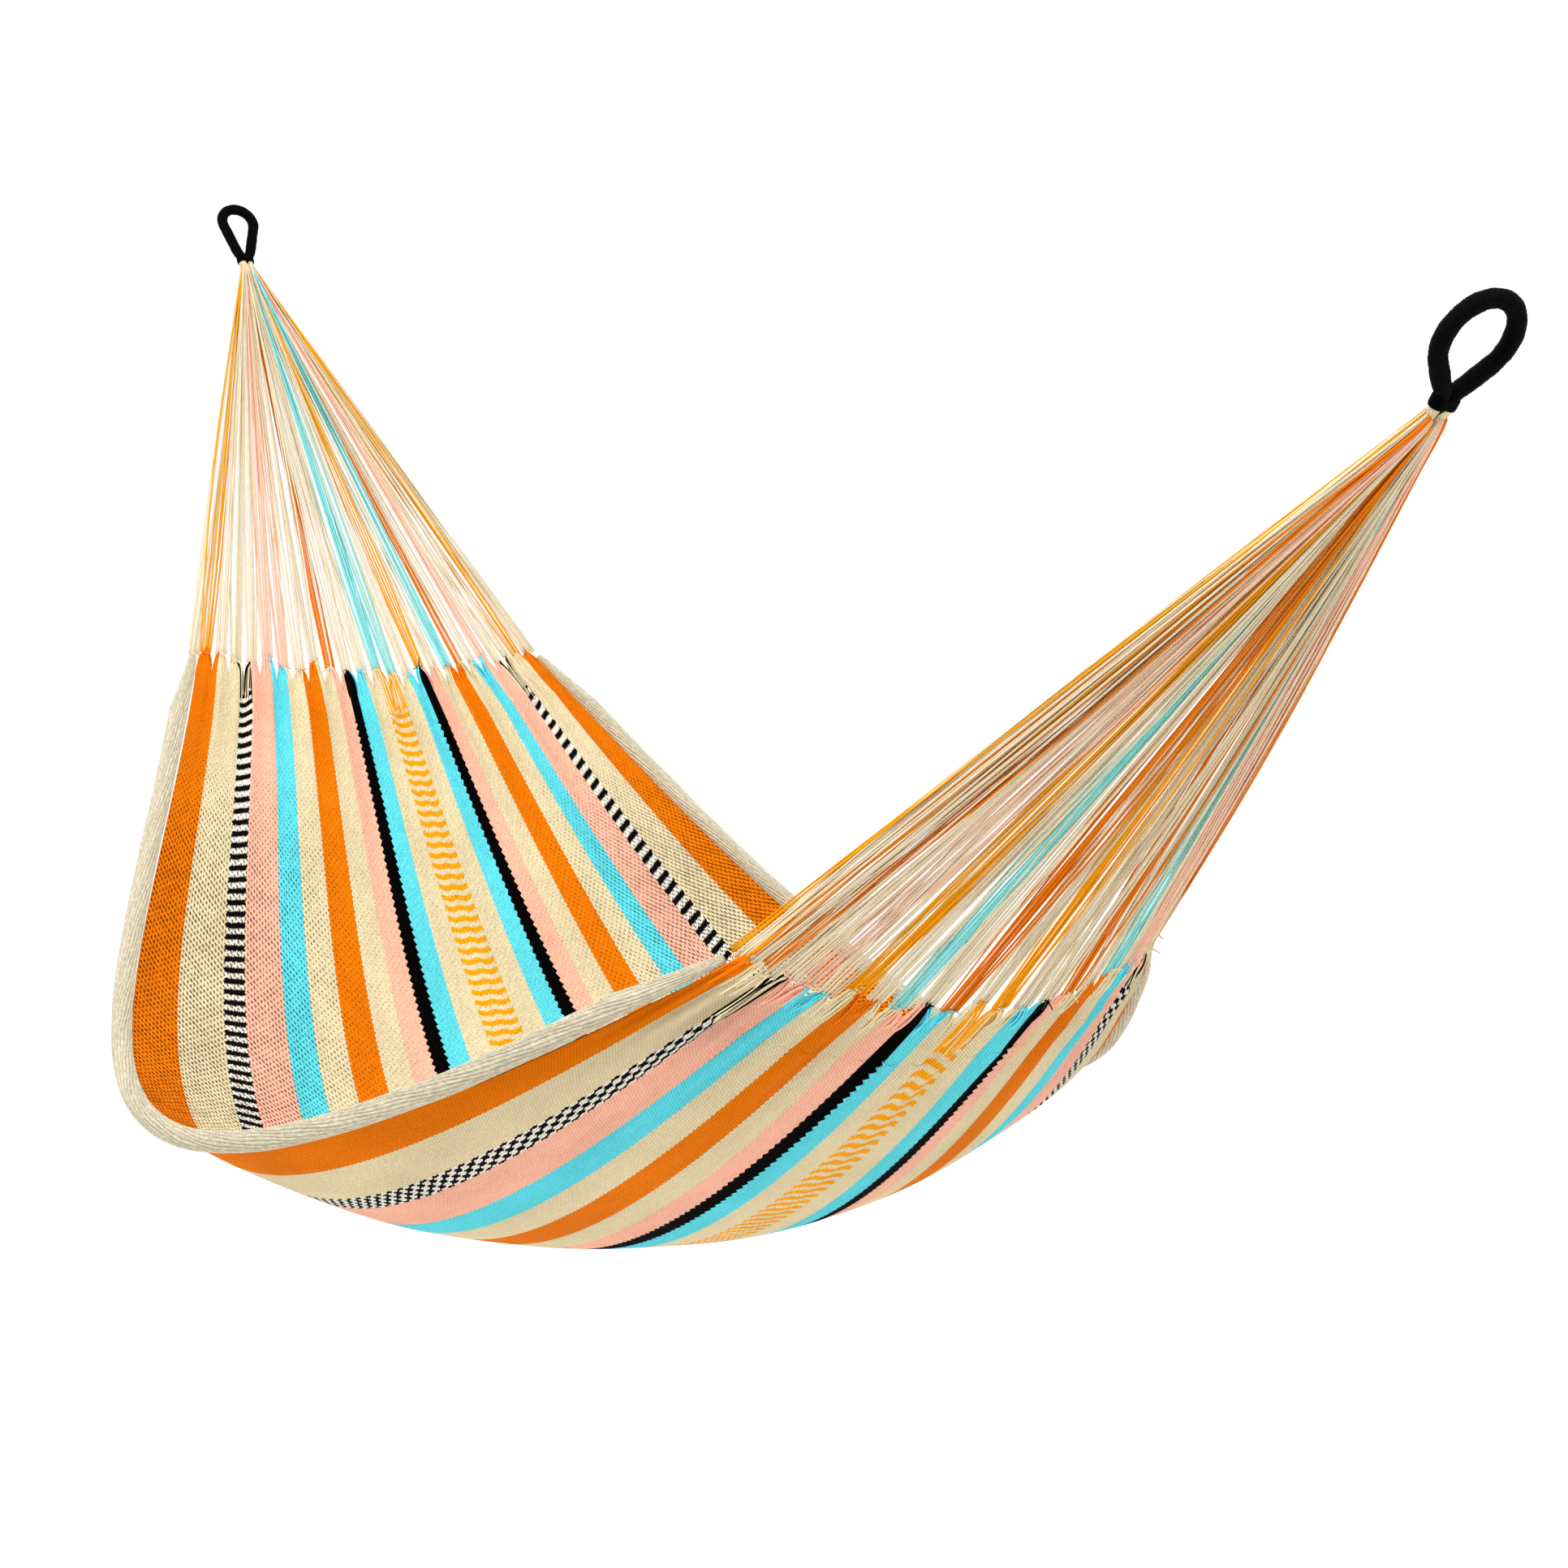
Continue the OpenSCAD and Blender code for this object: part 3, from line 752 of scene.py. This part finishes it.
def warp_loops(end, yarns=16, steps=12, yarn_r=0.0013, tip_r=0.0011, bundle_r=0.0020,
               bundle_turn=2.4):
    """The cloth's end gathered into loops, whose warp comes free of the weave near the tips."""
    woven, loose = {}, {}
    pitch = 2 * CLOTH_EDGE / (LAST_STRING - 1)
    for i in range(1, LAST_STRING):
        for k, (_, _, colour) in enumerate(STRIPES):
            for side in ([1] if k == 0 else [-1, 1]):
                loop_cloth(end, i, k, side, woven.setdefault(colour, Soup()))
        towards = tie(end, i)[1]
        q_tip = loop_place(i)
        outward = bed_normal(END_T[end], q_tip)
        lateral = unit(np.cross(outward, towards))
        for n in range(yarns):
            q_root = np.clip(q_tip + ((n + 0.5) / yarns - 0.5) * pitch, -CLOTH_EDGE, CLOTH_EDGE)
            make = STRIPES[int(np.searchsorted(EDGES[:-1], abs(q_root) * HALF_W))][2]
            first = rng.uniform(0.02, 0.3) if make in TWO_COLOURED else rng.uniform(0.4, 0.75)
            s = 1 - (1 - first) * np.linspace(1, 0, steps)[:, None] ** 1.6
            path, _, _ = gathered(end, i, np.full((1, 1), q_root), s)
            turn = n * bundle_turn
            bundle = bundle_r * (math.cos(turn) * lateral + math.sin(turn) * outward)
            slack = 0.0016 * rng.normal() * np.sin(math.pi * (s - first) / (1 - first)) * outward
            colour = yarn_at(q_root, n)
            soup = loose.setdefault(colour, Soup())
            soup.tube(path[:, 0] + s ** 5 * bundle + slack, mix(yarn_r, tip_r, s[:, 0]), 6,
                      len(soup.points))
    for colour, soup in woven.items():
        if soup.points:
            soup.make(f"{end}_loop_cloth_{colour}", WEAVES[colour], "bed", SLOT[colour],
                      f"{end}_warp_loops", crease=math.radians(55))
    for colour, soup in loose.items():
        soup.make(f"{end}_warp_loops_{colour}", YARNS[colour], "bed", SLOT[colour],
                  f"{end}_warp_loops")


def knots(end, knot_size=0.0011, yarn_r=0.0011, tail_r=0.0010, tail_tip_r=0.0006,
          tail_lengths=(0.006, 0.014)):
    """A small knot on each loop's tip, with two short curling tails."""
    soups = {}
    for i in range(LAST_STRING + 1):
        tip, towards = tie(end, i)
        q = np.clip(loop_place(i), -CLOTH_EDGE, CLOTH_EDGE)
        outward = bed_normal(END_T[end], q)
        lateral = unit(np.cross(outward, towards))
        colour = "cream" if i in (0, LAST_STRING) else yarn_at(q, i)
        soup = soups.setdefault(colour, Soup())
        a = np.linspace(0, 2 * math.pi, 31)[:, None]
        size = knot_size * rng.uniform(0.85, 1.15)
        loop = size * ((np.sin(a) + 2 * np.sin(2 * a)) * lateral
                       + (np.cos(a) - 2 * np.cos(2 * a)) * towards
                       - 1.3 * np.sin(3 * a) * outward)
        soup.tube(tip + loop, yarn_r, 6, i)
        for _ in range(2):
            way = unit(outward * rng.uniform(-1, 1) + lateral * rng.normal() * 0.8
                       + towards * rng.uniform(0.1, 0.9))
            bend = unit(np.cross(way, lateral * rng.choice([-1, 1]) + outward * 0.3))
            length = rng.uniform(*tail_lengths)
            s = np.linspace(0, 1, 9)[:, None]
            tail = tip + way * s * length + bend * s ** 2 * length * rng.uniform(0.2, 0.6)
            soup.tube(tail, mix(tail_r, tail_tip_r, s[:, 0]), 5, i + 40)
    for colour, soup in soups.items():
        soup.make(f"{end}_knots_{colour}", YARNS[colour], "bed", SLOT[colour], f"{end}_knots")


# ---------------------------------------------------------------- strings
def leg_place(i):
    """The leg that string i comes from, -1 near or 1 far, and its number there from the edge."""
    return (-1, i) if i < STRINGS_PER_LEG else (1, LAST_STRING - i)


def string_start(end, i):
    """Where string i crosses the ball round the throat."""
    heading = unit(bed(END_T[end], 0.0) - THROATS[end])
    side, j = leg_place(i)
    y = side * (LEG_OFFSET - (j - (STRINGS_PER_LEG - 1) / 2) * STRING_PITCH)
    row = (j % 3 - 1) * ROW_PITCH
    out = math.sqrt(STRING_BALL_R ** 2 - y * y - row * row)
    return (THROATS[end] + [0, y, 0] + row * np.array([-heading[2], 0, heading[0]])
            + heading * out)


def strings(end, yarns, yarn_r, spacing):
    """Bare yarns from the two legs of the eye to the warp loops, spread apart by spacing."""
    soups = {}
    eye = EYES[end]
    throat = THROATS[end]
    heading = unit(bed(END_T[end], 0.0) - throat)
    for i in range(LAST_STRING + 1):
        colour = YARN_OF[STRING_YARNS[end][i]]
        side, j = leg_place(i)
        start = throat + (string_start(end, i) - throat) * [1.0, START_SQUEEZE, 1.0]
        fullness = rng.uniform(0.3, 0.85)
        tip, towards = tie(end, i)
        outward = bed_normal(END_T[end], np.clip(loop_place(i), -CLOTH_EDGE, CLOTH_EDGE))
        lateral = unit(np.cross(outward, towards))
        for n in range(yarns):
            m = j * yarns + n
            disc = MOUTH_R * math.sqrt((m + 0.5) / (STRINGS_PER_LEG * yarns))
            a = m * GOLDEN_TURN
            leg = throat + turned(eye, LEG_INSIDE, side * NECK_OFFSET + disc * math.cos(a),
                                  disc * math.sin(a))
            near = start + 0.0013 * math.cos(a) * lateral + 0.0034 * math.sin(a) * outward
            mouth = mix(leg, near, 0.5)
            spread = (n - (yarns - 1) / 2) * spacing * lateral
            far = tip + 0.8 * spread + 0.0012 * math.sin(a) * outward
            s = np.array([0.1, 0.25, 0.45, 0.65, 0.82, 0.94])[:, None]
            bow = rng.normal() * 0.0035 * outward + rng.normal() * 0.0022 * lateral
            fan = fullness * np.minimum(1, s * 2.2) * np.minimum(1, (1 - s) * 4) * spread
            body = mix(near, far, s) + fan + np.sin(math.pi * s) * bow
            path = curve_through(np.concatenate([[leg, mouth, near], body, [far]]), 3)
            own = "cream" if rng.random() < CREAM_SHARE else colour
            soup = soups.setdefault(own, Soup())
            fat = rng.uniform(0.85, 1.15) * (1.2 if end == "head" and own != "cream" else 1.0)
            soup.tube(path, yarn_r * fat, 6, len(soup.points))
    for colour, soup in soups.items():
        piece = soup.make(f"{end}_yarns_{colour}", STRINGS[colour], None, SLOT[colour],
                          f"{end}_strings_{colour}")
        tuple(throat + heading * 0.012)
        tuple(throat + heading * 0.075)
        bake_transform(piece)


# ---------------------------------------------------------------- eyes
def eye_line(eye, start, step):
    """Points along the middle of an eye's rope, from one leg's start round to the other's."""
    loop_r = (eye["width"] - EYE_ROPE_D) / 2
    loop_x = eye["length"] - EYE_R - loop_r
    bend_y = LEG_OFFSET + NECK_BEND_R
    reach = math.hypot(loop_x - NECK_LEN, bend_y)
    turn = math.asin((NECK_BEND_R + loop_r) / reach) - math.atan2(bend_y, loop_x - NECK_LEN)
    bend = np.linspace(0, turn, 12)
    half = [(start, LEG_OFFSET)]
    half += [(NECK_LEN + NECK_BEND_R * math.sin(a), bend_y - NECK_BEND_R * math.cos(a))
             for a in bend]
    loop = np.linspace(math.pi / 2 + turn, 0, 24)
    half += [(loop_x + loop_r * math.cos(a), loop_r * math.sin(a)) for a in loop]
    half = np.array(half)
    line = np.concatenate([half, (half * [1, -1])[::-1][1:]])
    length = np.concatenate([[0], np.cumsum(np.linalg.norm(np.diff(line, axis=0), axis=1))])
    s = np.arange(0, length[-1], step)
    return np.stack([np.interp(s, length, line[:, 0]), np.interp(s, length, line[:, 1])], -1), s


def ridged_tube(end, start, step, radius_of, sides, uv_scale):
    """Tube along an eye, whose radius depends on the length s and the angle a."""
    eye = EYES[end]
    line, s = eye_line(eye, start, step)
    squeeze = np.clip((NECK_TOP - line[:, 0]) / (NECK_TOP - LASHING_W), 0, 1)
    squeeze = squeeze * squeeze * (3 - 2 * squeeze)
    line[:, 1] *= mix(1, NECK_OFFSET / LEG_OFFSET, squeeze)
    heading = unit(np.gradient(line, axis=0))
    across = np.stack([-heading[:, 1], heading[:, 0]], -1)
    a = np.arange(sides) * 2 * math.pi / sides
    r = radius_of(s[:, None], a[None], s[-1]) * mix(1, NECK_R / EYE_R, squeeze)[:, None]
    x = line[:, None, 0] + r * np.cos(a) * across[:, None, 0]
    y = line[:, None, 1] + r * np.cos(a) * across[:, None, 1]
    z = r * np.sin(a)
    rings = THROATS[end] + turned(eye, x, y, z)
    uv = np.stack(np.broadcast_arrays(np.arange(sides + 1)[None] / sides * uv_scale,
                                      s[:, None]), -1)
    soup = Soup()
    soup.skin(rings, uv)
    return soup


def eye_wrapping(end, pitch=0.0019, sides=28):
    """Black twine wound tightly round the eye, turn beside turn."""
    waver = np.random.default_rng(3).uniform(-1, 1, 400)

    def radius(s, a, length):
        turn = s / pitch + a / (2 * math.pi)
        crest = np.abs(np.sin(math.pi * turn)) ** 0.6
        own = waver[np.floor(turn).astype(int) % len(waver)]
        slow = np.sin(s * 420) * 0.00012 + np.sin(s * 170 + 1) * 0.00015
        return EYE_R - 0.0009 + 0.00065 * crest + 0.00016 * own + slow

    soup = ridged_tube(end, 0.0, 0.00034, radius, sides, 1.0)
    soup.make(f"{end}_twine_wrapping", TWINE, f"{end}_eye", "black_twine", f"{end}_eye_wrapping")


def eye_core(end, strands=9, taper_len=0.012):
    """Bundle of bare yarns inside the wrapping, which comes out of both legs."""
    stub = math.sqrt(BALL_R ** 2 - (LEG_OFFSET + CORE_R) ** 2) - 0.0002

    def radius(s, a, length):
        from_end = np.minimum(s, length - s)
        taper = np.clip(from_end / taper_len, 0.25, 1) ** 0.5
        crest = np.abs(np.sin(strands / 2 * (a + s * 40)))
        return CORE_R * 0.93 * taper * (0.86 + 0.14 * crest)

    soup = ridged_tube(end, -stub, 0.002, radius, strands * 4, strands)
    soup.make(f"{end}_core_yarns", CORE, f"{end}_eye", "cream_yarn", f"{end}_eye_core")


def throat_lashing(end, turns=8, twine_r=0.00058, point_len=0.0125, point_sides=16):
    """Twine lashed round both legs of the neck, with crossing turns on top."""
    eye = EYES[end]
    soup = Soup()
    straight = 2 * NECK_OFFSET

    def outline(u, r):
        """A point at share u of the way round both legs."""
        total = 2 * straight + 2 * math.pi * r
        d = (u % 1) * total
        if d < straight:
            return -NECK_OFFSET + d, r
        d -= straight
        if d < math.pi * r:
            return NECK_OFFSET + r * math.sin(d / r), r * math.cos(d / r)
        d -= math.pi * r
        if d < straight:
            return NECK_OFFSET - d, -r
        d -= straight
        return -NECK_OFFSET - r * math.sin(d / r), -r * math.cos(d / r)

    start = (NECK_LEN - LASHING_W) / 2 + twine_r
    u = np.linspace(0, turns, turns * 56)
    yz = np.array([outline(k, NECK_R - 0.0004) for k in u])
    x = start + u / turns * (LASHING_W - 2 * twine_r)
    soup.tube(THROATS[end] + turned(eye, x, yz[:, 0], yz[:, 1]), twine_r * 1.04, 8)
    # The crossing turns between the legs come to a point between the two bundles of yarn
    heading = unit(bed(END_T[end], 0.0) - THROATS[end])
    tilted = np.cross([0, 1, 0], heading)
    a = np.arange(point_sides + 1) * 2 * math.pi / point_sides
    s = np.linspace(0, 1, 40)[:, None]
    ripple = 0.0002 * np.sin(s * 75)
    across = mix(0.0070, 0.0008, s ** 0.7) + ripple
    deep = mix(0.0062, 0.0012, s ** 0.8) + ripple
    rings = (THROATS[end] + turned(eye, 0.002, 0.0) + (s * point_len)[..., None] * heading
             + (across * np.cos(a[:-1]))[..., None] * np.array([0.0, 1.0, 0.0])
             + (deep * np.sin(a[:-1]))[..., None] * tilted)
    soup.skin(rings, np.stack(np.broadcast_arrays(a[None] / (2 * math.pi), s * point_len), -1))
    soup.make(f"{end}_lashed_twine", TWINE, f"{end}_eye", "black_twine", f"{end}_throat_lashing")


# ---------------------------------------------------------------- stage
def put(thing, right, up, back, place):
    """Puts a camera or lamp at place, with its axes along right, up and back."""
    thing.matrix_world = Matrix([[right[k], up[k], back[k], place[k]] for k in range(3)]
                                + [[0, 0, 0, 1]])
    bpy.context.scene.collection.objects.link(thing)


def camera():
    """The photograph's view: behind the foot end and to its near side, rolled slightly."""
    yaw, pitch, roll = (math.radians(a) for a in (57.499, -10.498, 5.0))
    forward = np.array([-math.sin(yaw) * math.cos(pitch), math.cos(yaw) * math.cos(pitch),
                        math.sin(pitch)])
    right = np.array([math.cos(yaw), math.sin(yaw), 0.0])
    up = np.cross(right, forward)
    right, up = (math.cos(roll) * right + math.sin(roll) * up,
                 math.cos(roll) * up - math.sin(roll) * right)
    lens = bpy.data.cameras.new("camera")
    lens.sensor_width = 36.0
    lens.lens = 63.267
    lens.clip_end = 200.0
    viewer = bpy.data.objects.new("camera", lens)
    put(viewer, right, up, -forward, HEAD_THROAT + [4.3042, -1.6311, 0.0621])
    bpy.context.scene.camera = viewer


def floor():
    """A wide pale floor, below the lowest point of the bed at every pose."""
    mesh = bpy.data.meshes.new("floor")
    size = 60.0
    low = -2.3
    mesh.from_pydata([(-size, -size, low), (size, -size, low), (size, size, low),
                      (-size, size, low)], [], [(0, 1, 2, 3)])
    material = bpy.data.materials.new("floor")
    material.use_nodes = True
    shader = material.node_tree.nodes["Principled BSDF"]
    shader.inputs["Base Color"].default_value = (0.98, 0.98, 0.98, 1)
    shader.inputs["Roughness"].default_value = 0.95
    mesh.materials.append(material)
    ground = bpy.data.objects.new("floor", mesh)
    bpy.context.scene.collection.objects.link(ground)


def area_light(name, place, target, size, power):
    """A soft round light at place that faces target."""
    light = bpy.data.lights.new(name, "AREA")
    light.shape = "DISK"
    light.size = size
    light.energy = power
    lamp = bpy.data.objects.new(name, light)
    back = unit(np.subtract(place, target))
    side = unit(np.cross([0, 0, 1], back))
    up = np.cross(back, side)
    put(lamp, side, up, back, place)


def lights():
    """White surroundings, a key light and a weaker fill light."""
    world = bpy.data.worlds.new("studio")
    bpy.context.scene.world = world
    world.use_nodes = True
    world.node_tree.nodes["Background"].inputs["Color"].default_value = (1, 1, 1, 1)
    world.node_tree.nodes["Background"].inputs["Strength"].default_value = 1.05
    centre = (1.35, 0.0, -0.7)
    area_light("key", (3.6, -1.2, 3.0), centre, 2.2, 150)
    area_light("fill", (-0.5, -3.0, 1.0), centre, 2.5, 30)
    bpy.context.scene.view_settings.view_transform = "Standard"


camera()
cloth()
edge_rolls()
for end in EYES:
    warp_loops(end)
    knots(end)
    strings(end, *STRING_MAKE[end])
    eye_wrapping(end)
    eye_core(end)
    throat_lashing(end)
floor()
lights()
